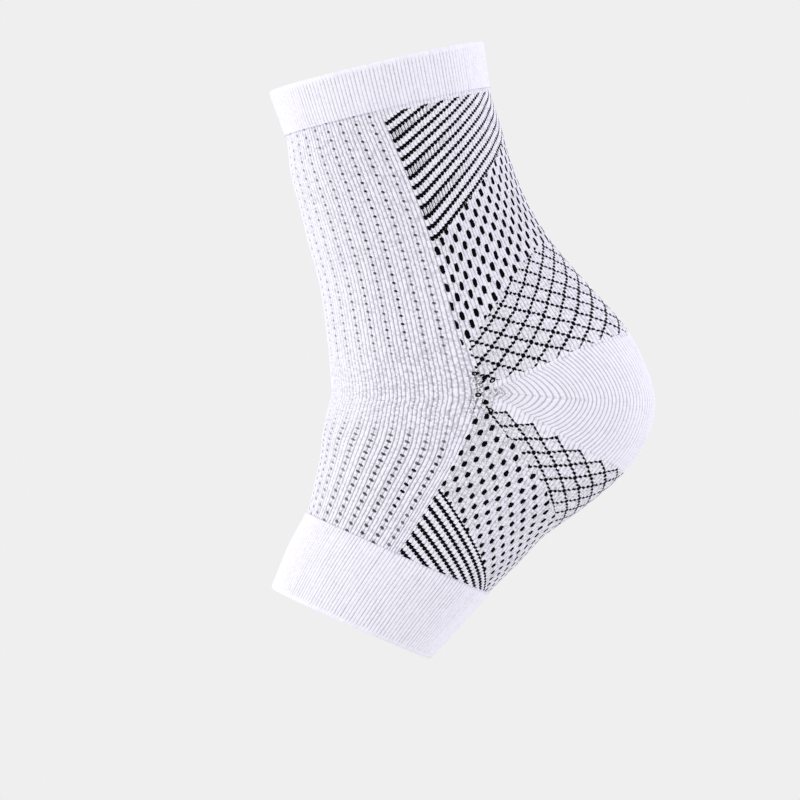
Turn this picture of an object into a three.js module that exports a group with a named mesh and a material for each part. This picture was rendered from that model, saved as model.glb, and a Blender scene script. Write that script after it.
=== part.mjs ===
// Ankle compression sleeve: a knitted tube worn from the lower calf to the arch of the foot.
// Millimetres. +Z runs up the leg, +X points to the heel and -X to the toes. The origin is the
// ankle point: the middle of the tube at the height where the heel gore starts.
import * as THREE from 'three';

// Driving dimensions
const LEG_HEIGHT = 128; // ankle point up to the leg rim
const LEG_LEAN = 11; // how far the middle of the leg rim lies in front of the ankle point
const FOOT_REACH = 100; // ankle point to the middle of the foot rim
const FOOT_SLOPE = 47; // degrees, how steeply the foot part runs down from the ankle point
const FOOT_BOW = 4; // how far the middle of the foot part sags below a straight line
const FOOT_TILT = 37; // degrees, the foot rim against the leg rim
const CALF_DEPTH = 80; // front to back at the leg cuff
const CALF_WIDTH = 74; // side to side at the leg cuff
const HEEL_DEPTH = 121; // instep to the back of the heel
const ANKLE_WIDTH = 66; // side to side over the ankle bones
const ARCH_DEPTH = 75; // instep to sole at the foot cuff's seam
const ARCH_WIDTH = 76; // side to side at the foot cuff's seam
const LEG_CUFF_HEIGHT = 17.5;
const FOOT_CUFF_HEIGHT = 32;
const HEEL_RISE = 17.5; // heel cup's upper edge above the gore line at the back, along the tube
const HEEL_DROP = 20; // heel cup's lower edge below the gore line at the back, along the tube
const KNIT_WALL = 1.4; // thickness of the single knit
const CUFF_WALL = 2.2; // thickness of the doubled cuffs
const CUFF_STEP = 0.7; // how far the cuffs stand proud of the knit
const RIB_COUNT = 84; // strong ribs round each cuff
const RIB_DEPTH = 0.5; // from valley to crest
const SEAM_GAP = 0.3; // between neighbouring pieces
const GORE_TIP = 1.6; // how far the heel cup starts behind the border line

// Grid counts
const LEG_STEPS = 16;
const FOOT_STEPS = 12;
const HEEL_STEPS = 12;
const HALF_GIRTH_STEPS = 24;
const RIM_STEPS = 3;
const ARC_SAMPLES = 32;
const PROBE = 1e-3; // small step of along or girth that measures slopes

// One row for each section of the outer surface. along is 0 at the leg rim, 1 at the ankle point
// and 2 at the foot rim. lean, bow and tilt are shares of the sizes of those names. front, back
// and side are half sizes. taper narrows the back and widens the front, and the two full columns
// say how square each half is: 2 is an ellipse.
const SECTIONS = [
  { along: 0.00, lean: 1.00, bow: 0.00, tilt: 0.00, front: 0.51 * CALF_DEPTH, back: 0.51 * CALF_DEPTH,
    side: 0.51 * CALF_WIDTH, taper: 0.04, fullFront: 2.1, fullBack: 2.1 },
  { along: 0.14, lean: 0.98, bow: 0.00, tilt: 0.00, front: 0.49 * CALF_DEPTH, back: 0.49 * CALF_DEPTH,
    side: 0.49 * CALF_WIDTH, taper: 0.05, fullFront: 2.1, fullBack: 2.1 },
  { along: 0.25, lean: 0.75, bow: 0.00, tilt: 0.01, front: 0.54 * CALF_DEPTH, back: 0.47 * CALF_DEPTH,
    side: 0.47 * CALF_WIDTH, taper: 0.08, fullFront: 2.1, fullBack: 2.0 },
  { along: 0.36, lean: 0.54, bow: 0.00, tilt: 0.03, front: 0.565 * CALF_DEPTH, back: 0.45 * CALF_DEPTH,
    side: 0.45 * CALF_WIDTH, taper: 0.11, fullFront: 2.1, fullBack: 1.9 },
  { along: 0.48, lean: 0.35, bow: 0.00, tilt: 0.05, front: 0.59 * CALF_DEPTH, back: 0.455 * CALF_DEPTH,
    side: 0.43 * CALF_WIDTH, taper: 0.14, fullFront: 2.1, fullBack: 1.85 },
  { along: 0.60, lean: 0.24, bow: 0.00, tilt: 0.10, front: 0.60 * CALF_DEPTH, back: 0.51 * CALF_DEPTH,
    side: 0.47 * ANKLE_WIDTH, taper: 0.16, fullFront: 2.1, fullBack: 1.85 },
  { along: 0.72, lean: 0.14, bow: 0.00, tilt: 0.16, front: 0.415 * HEEL_DEPTH, back: 0.405 * HEEL_DEPTH,
    side: 0.48 * ANKLE_WIDTH, taper: 0.16, fullFront: 2.1, fullBack: 1.9 },
  { along: 0.86, lean: 0.06, bow: 0.00, tilt: 0.24, front: 0.44 * HEEL_DEPTH, back: 0.495 * HEEL_DEPTH,
    side: 0.50 * ANKLE_WIDTH, taper: 0.14, fullFront: 2.1, fullBack: 2.1 },
  { along: 1.00, lean: 0.00, bow: 0.00, tilt: 0.36, front: 0.47 * HEEL_DEPTH, back: 0.53 * HEEL_DEPTH,
    side: 0.50 * ANKLE_WIDTH, taper: 0.10, fullFront: 2.1, fullBack: 2.4 },
  { along: 1.09, lean: 0.00, bow: 0.58, tilt: 0.49, front: 0.46 * HEEL_DEPTH, back: 0.54 * HEEL_DEPTH,
    side: 0.50 * ANKLE_WIDTH, taper: 0.08, fullFront: 2.1, fullBack: 2.4 },
  { along: 1.19, lean: 0.00, bow: 0.85, tilt: 0.62, front: 0.44 * HEEL_DEPTH, back: 0.51 * HEEL_DEPTH,
    side: 0.50 * ANKLE_WIDTH, taper: 0.06, fullFront: 2.1, fullBack: 2.4 },
  { along: 1.31, lean: 0.00, bow: 1.00, tilt: 0.76, front: 0.415 * HEEL_DEPTH, back: 0.435 * HEEL_DEPTH,
    side: 0.45 * ARCH_WIDTH, taper: 0.03, fullFront: 2.1, fullBack: 2.4 },
  { along: 1.43, lean: 0.00, bow: 0.95, tilt: 0.88, front: 0.61 * ARCH_DEPTH, back: 0.585 * ARCH_DEPTH,
    side: 0.47 * ARCH_WIDTH, taper: 0.00, fullFront: 2.1, fullBack: 2.4 },
  { along: 1.55, lean: 0.00, bow: 0.85, tilt: 0.96, front: 0.56 * ARCH_DEPTH, back: 0.535 * ARCH_DEPTH,
    side: 0.48 * ARCH_WIDTH, taper: -0.03, fullFront: 2.1, fullBack: 2.4 },
  { along: 1.68, lean: 0.00, bow: 0.65, tilt: 1.00, front: 0.505 * ARCH_DEPTH, back: 0.49 * ARCH_DEPTH,
    side: 0.49 * ARCH_WIDTH, taper: -0.05, fullFront: 2.1, fullBack: 2.4 },
  { along: 1.83, lean: 0.00, bow: 0.30, tilt: 1.00, front: 0.475 * ARCH_DEPTH, back: 0.465 * ARCH_DEPTH,
    side: 0.49 * ARCH_WIDTH, taper: -0.06, fullFront: 2.1, fullBack: 2.3 },
  { along: 2.00, lean: 0.00, bow: 0.00, tilt: 1.00, front: 0.43 * ARCH_DEPTH, back: 0.43 * ARCH_DEPTH,
    side: 0.48 * ARCH_WIDTH, taper: -0.06, fullFront: 2.1, fullBack: 2.3 },
];
const LEG_RIM = SECTIONS[0].along;
const GORE_LINE = 1;
const FOOT_RIM = SECTIONS[SECTIONS.length - 1].along;

// The row with its middle worked out, as plain numbers that can be blended.
function placedRow(row) {
  const slope = THREE.MathUtils.degToRad(FOOT_SLOPE);
  const reach = FOOT_REACH * Math.max(0, row.along - GORE_LINE);
  const height = LEG_HEIGHT * Math.max(0, GORE_LINE - row.along);
  const sag = FOOT_BOW * row.bow;
  return {
    ...row,
    x: -LEG_LEAN * row.lean - reach * Math.cos(slope) + sag * Math.sin(slope),
    z: height - reach * Math.sin(slope) - sag * Math.cos(slope),
    angle: THREE.MathUtils.degToRad(FOOT_TILT * row.tilt),
  };
}
const ROWS = SECTIONS.map(placedRow);
const BLENDED = ['x', 'z', 'angle', 'front', 'back', 'side', 'taper', 'fullFront', 'fullBack'];

// A smooth curve through the rows: each value follows a cubic with Catmull-Rom slopes.
function sectionAt(along) {
  const above = ROWS.findIndex((row) => row.along > along);
  const start = above < 0 ? ROWS.length - 2 : Math.max(0, above - 1);
  const a = ROWS[start];
  const b = ROWS[start + 1];
  const before = ROWS[Math.max(0, start - 1)];
  const after = ROWS[Math.min(ROWS.length - 1, start + 2)];
  const span = b.along - a.along;
  const u = (along - a.along) / span;
  const section = {};
  for (const name of BLENDED) {
    const slopeA = span * (b[name] - before[name]) / (b.along - before.along);
    const slopeB = span * (after[name] - a[name]) / (after.along - a.along);
    section[name] = (2 * u ** 3 - 3 * u ** 2 + 1) * a[name] + (u ** 3 - 2 * u ** 2 + u) * slopeA
      + (3 * u ** 2 - 2 * u ** 3) * b[name] + (u ** 3 - u ** 2) * slopeB;
  }
  return section;
}

// Distance from the section's middle to its outline, at an angle counted from the front.
function sectionRadius(section, angle) {
  const ahead = Math.cos(angle);
  const depth = ahead > 0 ? section.front : section.back;
  const full = ahead > 0 ? section.fullFront : section.fullBack;
  const side = section.side * (1 + section.taper * ahead);
  const sum = Math.abs(ahead / depth) ** full + Math.abs(Math.sin(angle) / side) ** full;
  return sum ** (-1 / full);
}

// Angles at equal steps of length along a quarter of the outline, from its start angle.
const quarterCache = new Map();
function quarterAngles(along, start) {
  const key = `${along} ${start}`;
  if (!quarterCache.has(key)) {
    const section = sectionAt(along);
    const angles = [];
    const lengths = [];
    for (let i = 0; i <= ARC_SAMPLES; i++) {
      const angle = start + (Math.PI / 2) * (i / ARC_SAMPLES);
      const r = sectionRadius(section, angle);
      const point = new THREE.Vector2(r * Math.cos(angle), r * Math.sin(angle));
      const step = i > 0 ? point.distanceTo(angles[i - 1].point) : 0;
      angles.push({ angle, point });
      lengths.push(step + (i > 0 ? lengths[i - 1] : 0));
    }
    quarterCache.set(key, { angles: angles.map((sample) => sample.angle), lengths });
  }
  return quarterCache.get(key);
}

function angleAtGirth(along, girth) {
  const start = girth < 1 ? 0 : Math.PI / 2;
  const share = girth < 1 ? girth : girth - 1;
  const { angles, lengths } = quarterAngles(along, start);
  const wanted = share * lengths[ARC_SAMPLES];
  let i = 1;
  while (i < ARC_SAMPLES && lengths[i] < wanted) i++;
  const part = (wanted - lengths[i - 1]) / (lengths[i] - lengths[i - 1]);
  return angles[i - 1] + part * (angles[i] - angles[i - 1]);
}

// Point of the outer surface. girth counts quarters of the way round: 0 is the front middle, 1 the
// border line on the near side, 2 the back middle and 3 the border line on the far side.
function skinPoint(along, girth) {
  const wrapped = THREE.MathUtils.euclideanModulo(girth, 4);
  const nearSide = wrapped <= 2;
  const angle = angleAtGirth(along, nearSide ? wrapped : 4 - wrapped);
  const section = sectionAt(along);
  const r = sectionRadius(section, angle);
  const across = -r * Math.cos(angle);
  return new THREE.Vector3(
    section.x + across * Math.cos(section.angle),
    (nearSide ? -1 : 1) * r * Math.sin(angle),
    section.z - across * Math.sin(section.angle),
  );
}

function skinNormal(along, girth) {
  const alongStep = skinPoint(along + PROBE, girth).sub(skinPoint(along - PROBE, girth));
  const girthStep = skinPoint(along, girth + PROBE).sub(skinPoint(along, girth - PROBE));
  return alongStep.cross(girthStep).normalize();
}

// Point at a height above the outer surface, or below it where the height is negative.
function raised(along, girth, height) {
  return skinPoint(along, girth).addScaledVector(skinNormal(along, girth), height);
}

// Change of along, or of girth, that moves a point of the surface by a length.
function alongFor(length, along, girth) {
  return length * PROBE / skinPoint(along + PROBE, girth).distanceTo(skinPoint(along, girth));
}

function girthFor(length, along, girth) {
  return length * PROBE / skinPoint(along, girth + PROBE).distanceTo(skinPoint(along, girth));
}

function closedGeometry(points, faces) {
  const geometry = new THREE.BufferGeometry();
  const numbers = points.flatMap((point) => point.toArray());
  geometry.setAttribute('position', new THREE.Float32BufferAttribute(numbers, 3));
  geometry.setIndex(faces.flat());
  geometry.computeVertexNormals();
  return geometry;
}

// A knitted wall with four edges. gridPoint takes shares along and round and a height.
function panelGeometry(rows, columns, gridPoint) {
  const points = [];
  const faces = [];
  const index = (i, j, inner) => (inner * (rows + 1) + i) * (columns + 1) + j;
  for (const height of [0, -KNIT_WALL]) {
    for (let i = 0; i <= rows; i++) {
      for (let j = 0; j <= columns; j++) {
        points.push(gridPoint(i / rows, j / columns, height));
      }
    }
  }
  const quad = (a, b, c, d) => faces.push([a, b, c], [a, c, d]);
  for (let i = 0; i < rows; i++) {
    for (let j = 0; j < columns; j++) {
      quad(index(i, j, 0), index(i + 1, j, 0), index(i + 1, j + 1, 0), index(i, j + 1, 0));
      quad(index(i, j, 1), index(i, j + 1, 1), index(i + 1, j + 1, 1), index(i + 1, j, 1));
    }
    quad(index(i, 0, 0), index(i, 0, 1), index(i + 1, 0, 1), index(i + 1, 0, 0));
    quad(index(i, columns, 0), index(i + 1, columns, 0), index(i + 1, columns, 1), index(i, columns, 1));
  }
  for (let j = 0; j < columns; j++) {
    quad(index(0, j, 0), index(0, j + 1, 0), index(0, j + 1, 1), index(0, j, 1));
    quad(index(rows, j, 0), index(rows, j, 1), index(rows, j + 1, 1), index(rows, j + 1, 0));
  }
  return closedGeometry(points, faces);
}

// Edges that the panels share, as along values at a girth.
const legSeam = (LEG_CUFF_HEIGHT / LEG_HEIGHT) * GORE_LINE;
const footSeam = FOOT_RIM - FOOT_CUFF_HEIGHT / FOOT_REACH;
const towardsBack = (girth) => Math.sin(Math.min(1, Math.abs(girth - 1), Math.abs(girth - 3)) * Math.PI / 2);
const heelTop = (girth) => GORE_LINE - (HEEL_RISE / LEG_HEIGHT) * towardsBack(girth);
const heelBottom = (girth) => GORE_LINE + (HEEL_DROP / FOOT_REACH) * towardsBack(girth);

// A panel between two edges, held half a seam gap away from each of them.
function panelBetween(rows, topEdge, bottomEdge, girthFrom, girthTo, sideInset) {
  return panelGeometry(rows, HALF_GIRTH_STEPS, (down, round, height) => {
    const plainGirth = girthFrom + round * (girthTo - girthFrom);
    const middle = (topEdge(plainGirth) + bottomEdge(plainGirth)) / 2;
    const inset = girthFor(sideInset, middle, plainGirth);
    const girth = girthFrom + inset + round * (girthTo - girthFrom - 2 * inset);
    const top = topEdge(girth) + alongFor(SEAM_GAP / 2, topEdge(girth), girth);
    const bottom = bottomEdge(girth) - alongFor(SEAM_GAP / 2, bottomEdge(girth), girth);
    return raised(top + down * (bottom - top), girth, height);
  });
}

// A ribbed, doubled band between a rim and a seam, with a round fold at the rim.
function cuffGeometry(rim, seam) {
  const radius = CUFF_WALL / 2;
  const middle = CUFF_STEP - radius;
  const inwards = Math.sign(seam - rim);
  const columns = 2 * RIB_COUNT;
  const points = [];
  const faces = [];
  const profile = (girth) => {
    const fold = rim + inwards * alongFor(radius, rim, girth);
    const edge = seam - inwards * alongFor(SEAM_GAP / 2, seam, girth);
    const loop = [
      { along: edge, height: middle + radius, ribbed: 1 },
      { along: (edge + fold) / 2, height: middle + radius, ribbed: 1 },
    ];
    for (let k = 0; k <= RIM_STEPS; k++) {
      const turn = Math.PI * (k / RIM_STEPS);
      const along = fold - inwards * alongFor(radius * Math.sin(turn), rim, girth);
      loop.push({ along, height: middle + radius * Math.cos(turn), ribbed: k < RIM_STEPS ? 1 : 0 });
    }
    loop.push({ along: edge, height: middle - radius, ribbed: 0 });
    return loop;
  };
  let size = 0;
  for (let j = 0; j < columns; j++) {
    const girth = 4 * (j / columns);
    const valley = j % 2 === 0 ? 0 : RIB_DEPTH;
    const loop = profile(girth);
    size = loop.length;
    for (const { along, height, ribbed } of loop) {
      points.push(raised(along, girth, height - ribbed * valley));
    }
  }
  for (let j = 0; j < columns; j++) {
    const next = (j + 1) % columns;
    for (let k = 0; k < size; k++) {
      const up = (k + 1) % size;
      const quad = [j * size + k, next * size + k, next * size + up, j * size + up];
      if (inwards < 0) quad.reverse();
      faces.push([quad[0], quad[1], quad[2]], [quad[0], quad[2], quad[3]]);
    }
  }
  return closedGeometry(points, faces);
}

const cuffYarn = new THREE.MeshStandardMaterial({ color: 0xeeebf4, roughness: 0.9, metalness: 0 });
const speckledYarn = new THREE.MeshStandardMaterial({ color: 0xd9d8de, roughness: 0.9, metalness: 0 });
const patternedYarn = new THREE.MeshStandardMaterial({ color: 0x8f8e96, roughness: 0.9, metalness: 0 });
const plainYarn = new THREE.MeshStandardMaterial({ color: 0xe6e3ef, roughness: 0.9, metalness: 0 });

function piece(name, geometry, material) {
  const mesh = new THREE.Mesh(geometry, material);
  mesh.name = name;
  return mesh;
}

const atLegSeam = () => legSeam;
const atFootSeam = () => footSeam;

const group = new THREE.Group();
group.add(piece('leg_cuff', cuffGeometry(LEG_RIM, legSeam), cuffYarn));
const frontPanel = panelBetween(LEG_STEPS + FOOT_STEPS, atLegSeam, atFootSeam, -1, 1, SEAM_GAP / 2);
const backPanel = panelBetween(LEG_STEPS, atLegSeam, heelTop, 1, 3, SEAM_GAP / 2);
const heelCup = panelBetween(HEEL_STEPS, heelTop, heelBottom, 1, 3, GORE_TIP);
const solePanel = panelBetween(FOOT_STEPS, heelBottom, atFootSeam, 1, 3, SEAM_GAP / 2);
group.add(piece('front_panel', frontPanel, speckledYarn));
group.add(piece('back_panel', backPanel, patternedYarn));
group.add(piece('heel_cup', heelCup, plainYarn));
group.add(piece('sole_panel', solePanel, patternedYarn));
group.add(piece('foot_cuff', cuffGeometry(FOOT_RIM, footSeam), cuffYarn));

export default group;
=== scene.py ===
"""Knitted ankle compression sleeve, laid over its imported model.

Six knitted pieces are made as thick flat blanks and then wrapped round the form of a worn ankle:
a ribbed cuff at the leg, a speckled front, a patterned back and sole, a plain heel cup and a
ribbed cuff at the foot. Each piece has a UV map that counts stitches, across in wales and down in
courses, and its material draws the knitted pattern from those counts.
"""

import math

import bmesh
import bpy
import numpy as np
from bpy.props import FloatProperty, FloatVectorProperty, IntProperty, PointerProperty
from bpy.types import Operator, Panel, PropertyGroup
from mathutils import Matrix, Vector


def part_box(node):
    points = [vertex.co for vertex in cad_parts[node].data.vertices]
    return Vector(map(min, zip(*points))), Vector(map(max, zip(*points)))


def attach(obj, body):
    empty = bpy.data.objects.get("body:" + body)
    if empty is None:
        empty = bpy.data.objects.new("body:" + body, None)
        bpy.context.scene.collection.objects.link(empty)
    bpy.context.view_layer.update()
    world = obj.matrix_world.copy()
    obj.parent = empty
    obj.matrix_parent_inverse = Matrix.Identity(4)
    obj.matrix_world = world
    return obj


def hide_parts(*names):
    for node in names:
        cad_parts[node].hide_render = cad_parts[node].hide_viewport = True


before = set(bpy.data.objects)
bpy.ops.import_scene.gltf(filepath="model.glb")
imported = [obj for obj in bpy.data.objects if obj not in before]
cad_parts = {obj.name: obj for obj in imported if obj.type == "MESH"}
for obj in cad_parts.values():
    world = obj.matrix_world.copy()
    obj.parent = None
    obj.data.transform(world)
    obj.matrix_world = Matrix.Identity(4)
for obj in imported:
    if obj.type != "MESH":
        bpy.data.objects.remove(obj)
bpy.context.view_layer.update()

bl_info = {
    "name": "Ankle compression sleeve",
    "version": (1, 0, 0),
    "blender": (4, 5, 0),
    "location": "3D View > Sidebar > Ankle Sleeve",
    "description": "Makes a knitted ankle sleeve with ribbed cuffs, a heel cup and patterned panels",
    "category": "Add Mesh",
}

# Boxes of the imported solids, from which the sizes are worked out
LEG_CUFF_LOW, LEG_CUFF_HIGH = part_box("leg_cuff")
FOOT_CUFF_LOW, FOOT_CUFF_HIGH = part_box("foot_cuff")
HEEL_LOW, HEEL_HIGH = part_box("heel_cup")

# Stitches
WALES = 42  # stitch columns in a quarter of the way round
LEG_COURSES = 129  # stitch rows from the leg seam to the gore line
FOOT_COURSES = 82  # stitch rows from the gore line to the foot seam
HEEL_COURSES = 40  # stitch rows between the heel cup's two edges at its back
LEG_CUFF_COURSES = 20
FOOT_CUFF_COURSES = 38

# Each row of the form: where it is along the tube (0 leg rim, 1 ankle point, 2 foot rim), its
# shares of the lean, the sag and the tilt, its half sizes to the front, the back and the side, its
# taper, and how square its front and its back half are.
FORM = (
    (0.00, 1.00, 0.00, 0.00, ("calf", 0.51), ("calf", 0.51), ("calf", 0.51), 0.04, 2.1, 2.1),
    (0.14, 0.98, 0.00, 0.00, ("calf", 0.49), ("calf", 0.49), ("calf", 0.49), 0.05, 2.1, 2.1),
    (0.25, 0.75, 0.00, 0.01, ("calf", 0.54), ("calf", 0.47), ("calf", 0.47), 0.08, 2.1, 2.0),
    (0.36, 0.54, 0.00, 0.03, ("calf", 0.565), ("calf", 0.45), ("calf", 0.45), 0.11, 2.1, 1.9),
    (0.48, 0.35, 0.00, 0.05, ("calf", 0.59), ("calf", 0.455), ("calf", 0.43), 0.14, 2.1, 1.85),
    (0.60, 0.24, 0.00, 0.10, ("calf", 0.60), ("calf", 0.51), ("ankle", 0.47), 0.16, 2.1, 1.85),
    (0.72, 0.14, 0.00, 0.16, ("heel", 0.415), ("heel", 0.405), ("ankle", 0.48), 0.16, 2.1, 1.9),
    (0.86, 0.06, 0.00, 0.24, ("heel", 0.44), ("heel", 0.495), ("ankle", 0.50), 0.14, 2.1, 2.1),
    (1.00, 0.00, 0.00, 0.36, ("heel", 0.47), ("heel", 0.53), ("ankle", 0.50), 0.10, 2.1, 2.4),
    (1.09, 0.00, 0.58, 0.49, ("heel", 0.46), ("heel", 0.54), ("ankle", 0.50), 0.08, 2.1, 2.4),
    (1.19, 0.00, 0.85, 0.62, ("heel", 0.44), ("heel", 0.51), ("ankle", 0.50), 0.06, 2.1, 2.4),
    (1.31, 0.00, 1.00, 0.76, ("heel", 0.415), ("heel", 0.435), ("arch", 0.45), 0.03, 2.1, 2.4),
    (1.43, 0.00, 0.95, 0.88, ("arch", 0.61), ("arch", 0.585), ("arch", 0.47), 0.00, 2.1, 2.4),
    (1.55, 0.00, 0.85, 0.96, ("arch", 0.56), ("arch", 0.535), ("arch", 0.48), -0.03, 2.1, 2.4),
    (1.68, 0.00, 0.65, 1.00, ("arch", 0.505), ("arch", 0.49), ("arch", 0.49), -0.05, 2.1, 2.4),
    (1.83, 0.00, 0.30, 1.00, ("arch", 0.475), ("arch", 0.465), ("arch", 0.49), -0.06, 2.1, 2.3),
    (2.00, 0.00, 0.00, 1.00, ("arch", 0.43), ("arch", 0.43), ("arch", 0.48), -0.06, 2.1, 2.3),
)
ARC_SAMPLES = 32  # straight steps that measure the arc of a quarter

# How many wales a stitch column lies aside of its straight line: places along, then wales
ANKLE_BEND = ((0.45, 0.68, 0.88, 1.0, 1.12, 1.25), (0.0, 0.5, 1.0, 1.7, 0.9, 0.0))
INSTEP_BEND = ((1.08, 1.30, 1.68), (0.0, 0.9, 1.0))
# The share of it at each wale, or for the heel the wales aside themselves
ANKLE_SHARE = ((0, 5, 15, 25, 42), (0, 1, 1, 0.5, 0))
INSTEP_SHARE = ((0, 5, 13, 21, 29, 42), (0, -1.3, -1.2, -0.4, 1, 0))
HEEL_BEND = ((0, 5, 12, 20, 28, 42), (0.0, 2.0, 4.6, 3.6, 2.2, 0.0))
HEEL_ROUNDNESS = ((5, 25), (1.1, 2.0))  # how round that bend is at each wale

# Making of the pieces
SLOPE_STEP = 1e-3  # small step along or round that measures slopes
WELD = 2e-6  # points nearer than this become one, in metres
SHARP_EDGE = math.radians(60)
FRONT_ROWS = 105  # mesh rows of each panel
BACK_ROWS = 66
SOLE_ROWS = 44
HEEL_ROWS = 40
FOLD_ROWS = 8  # mesh rows of a cuff's fold, inner wall and closed end
INNER_ROWS = 6
END_ROWS = 3
PINCH_DEPTH = 0.0004  # how far a cuff is drawn in at its seam, in metres
PINCH_COURSES = 2.2  # how many courses that takes to fade
RIB_SEED = 7
FAINTEST_RIB = 0.25  # share of the rib depth
RIB_REACH = 0.35  # how far the ribs run round a cuff's fold before they fade
HEEL_RELIEF = 0.8  # share of the stitch depth

# Yarn
GRAIN_SCALE = 1500.0  # fibre grain of about 0.7 mm
CLOUD_SCALE = 140.0  # unevenness of about 7 mm
LEG_SHADE = 0.14  # how much each cause darkens white yarn; LEG_SHADE is painted shade between a stitch's two legs
GRAIN_SHADE = 0.5
CLOUD_SHADE = 0.15
BASE_SHADE = 0.04
BUMP_STRENGTH = 0.5
BUMP_HEIGHT = 0.0003
YARN_ROUGHNESS = 0.9
YARN_SPECULAR = 0.05

# Patterns, in wales from the border between front and back, and in courses
STITCH_SLANT = 0.35  # courses that the pattern's edge steps from a stitch's middle to its sides
LEG_SLANT = 0.5  # courses that the two legs of a stitch slant
STRIPE_WIDTH = 0.225  # half a stripe, as a share of the way to the next one
STRIPES = 12.5  # how many there are below the leg cuff
THIN_LINE = 48.6  # course of the line between the sole's dashes and stripes
SOLE_STRIPE_START = 52.6  # course of the first stripe's middle
SOLE_STRIPE_BORDER = 50.5  # course where the stripes begin
SOLE_STRIPE_PITCH = 4.6
UPPER_DASHES = {"first": 61.5, "stagger": 4.2, "lane": 2, "pitch": 8.4,
                "half_width": 0.62, "half_length": 2.05}
SOLE_DASHES = {"first": 13.55, "stagger": 3.87, "lane": 1.85, "pitch": 7.75,
               "half_width": 0.52, "half_length": 1.42}
UPPER_NET = {"first_wale": 4.3, "first_course": 97.9, "spacing": 2.93, "drop": 7.8}
SOLE_NET = {"first_wale": 5.2, "first_course": 10.7, "spacing": 2.9, "drop": 7.1}
TIP_COURSE = 113.3  # the knots past the heel cup's tip: where they start and how they swing
TIP_PITCH = 2.42
TIP_WALE = 0.6
TIP_SWING = 1.5
LANE = 4  # wales from one row of the front's marks to the next
FIRST_LANE = 3
MARK_PITCH = 3.9  # courses from one mark to the next

# Stage, in metres
AIM = (-0.031, 0, 0.0042)
CAMERA_DISTANCE = 3
CAMERA_ROLL = math.atan2(0.230, 0.973)  # how far the leg leans in the photograph
SENSOR_WIDTH = 36  # the camera's, in millimetres
FOCAL_LENGTH = 360
FAR_CLIP = 20
FLOOR_DROP = 0.25  # below the sleeve's lowest point
FLOOR_HALF_SIZE = 3
LIGHTS = (  # name, place, size, power and colour
    ("Key", (-1.8, -0.7, 0.8), 1.4, 16.0, (1.0, 0.99, 0.98)),
    ("Fill", (1.9, -0.5, 0.3), 1.2, 11.0, (0.88, 0.86, 1.0)),
)


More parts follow.
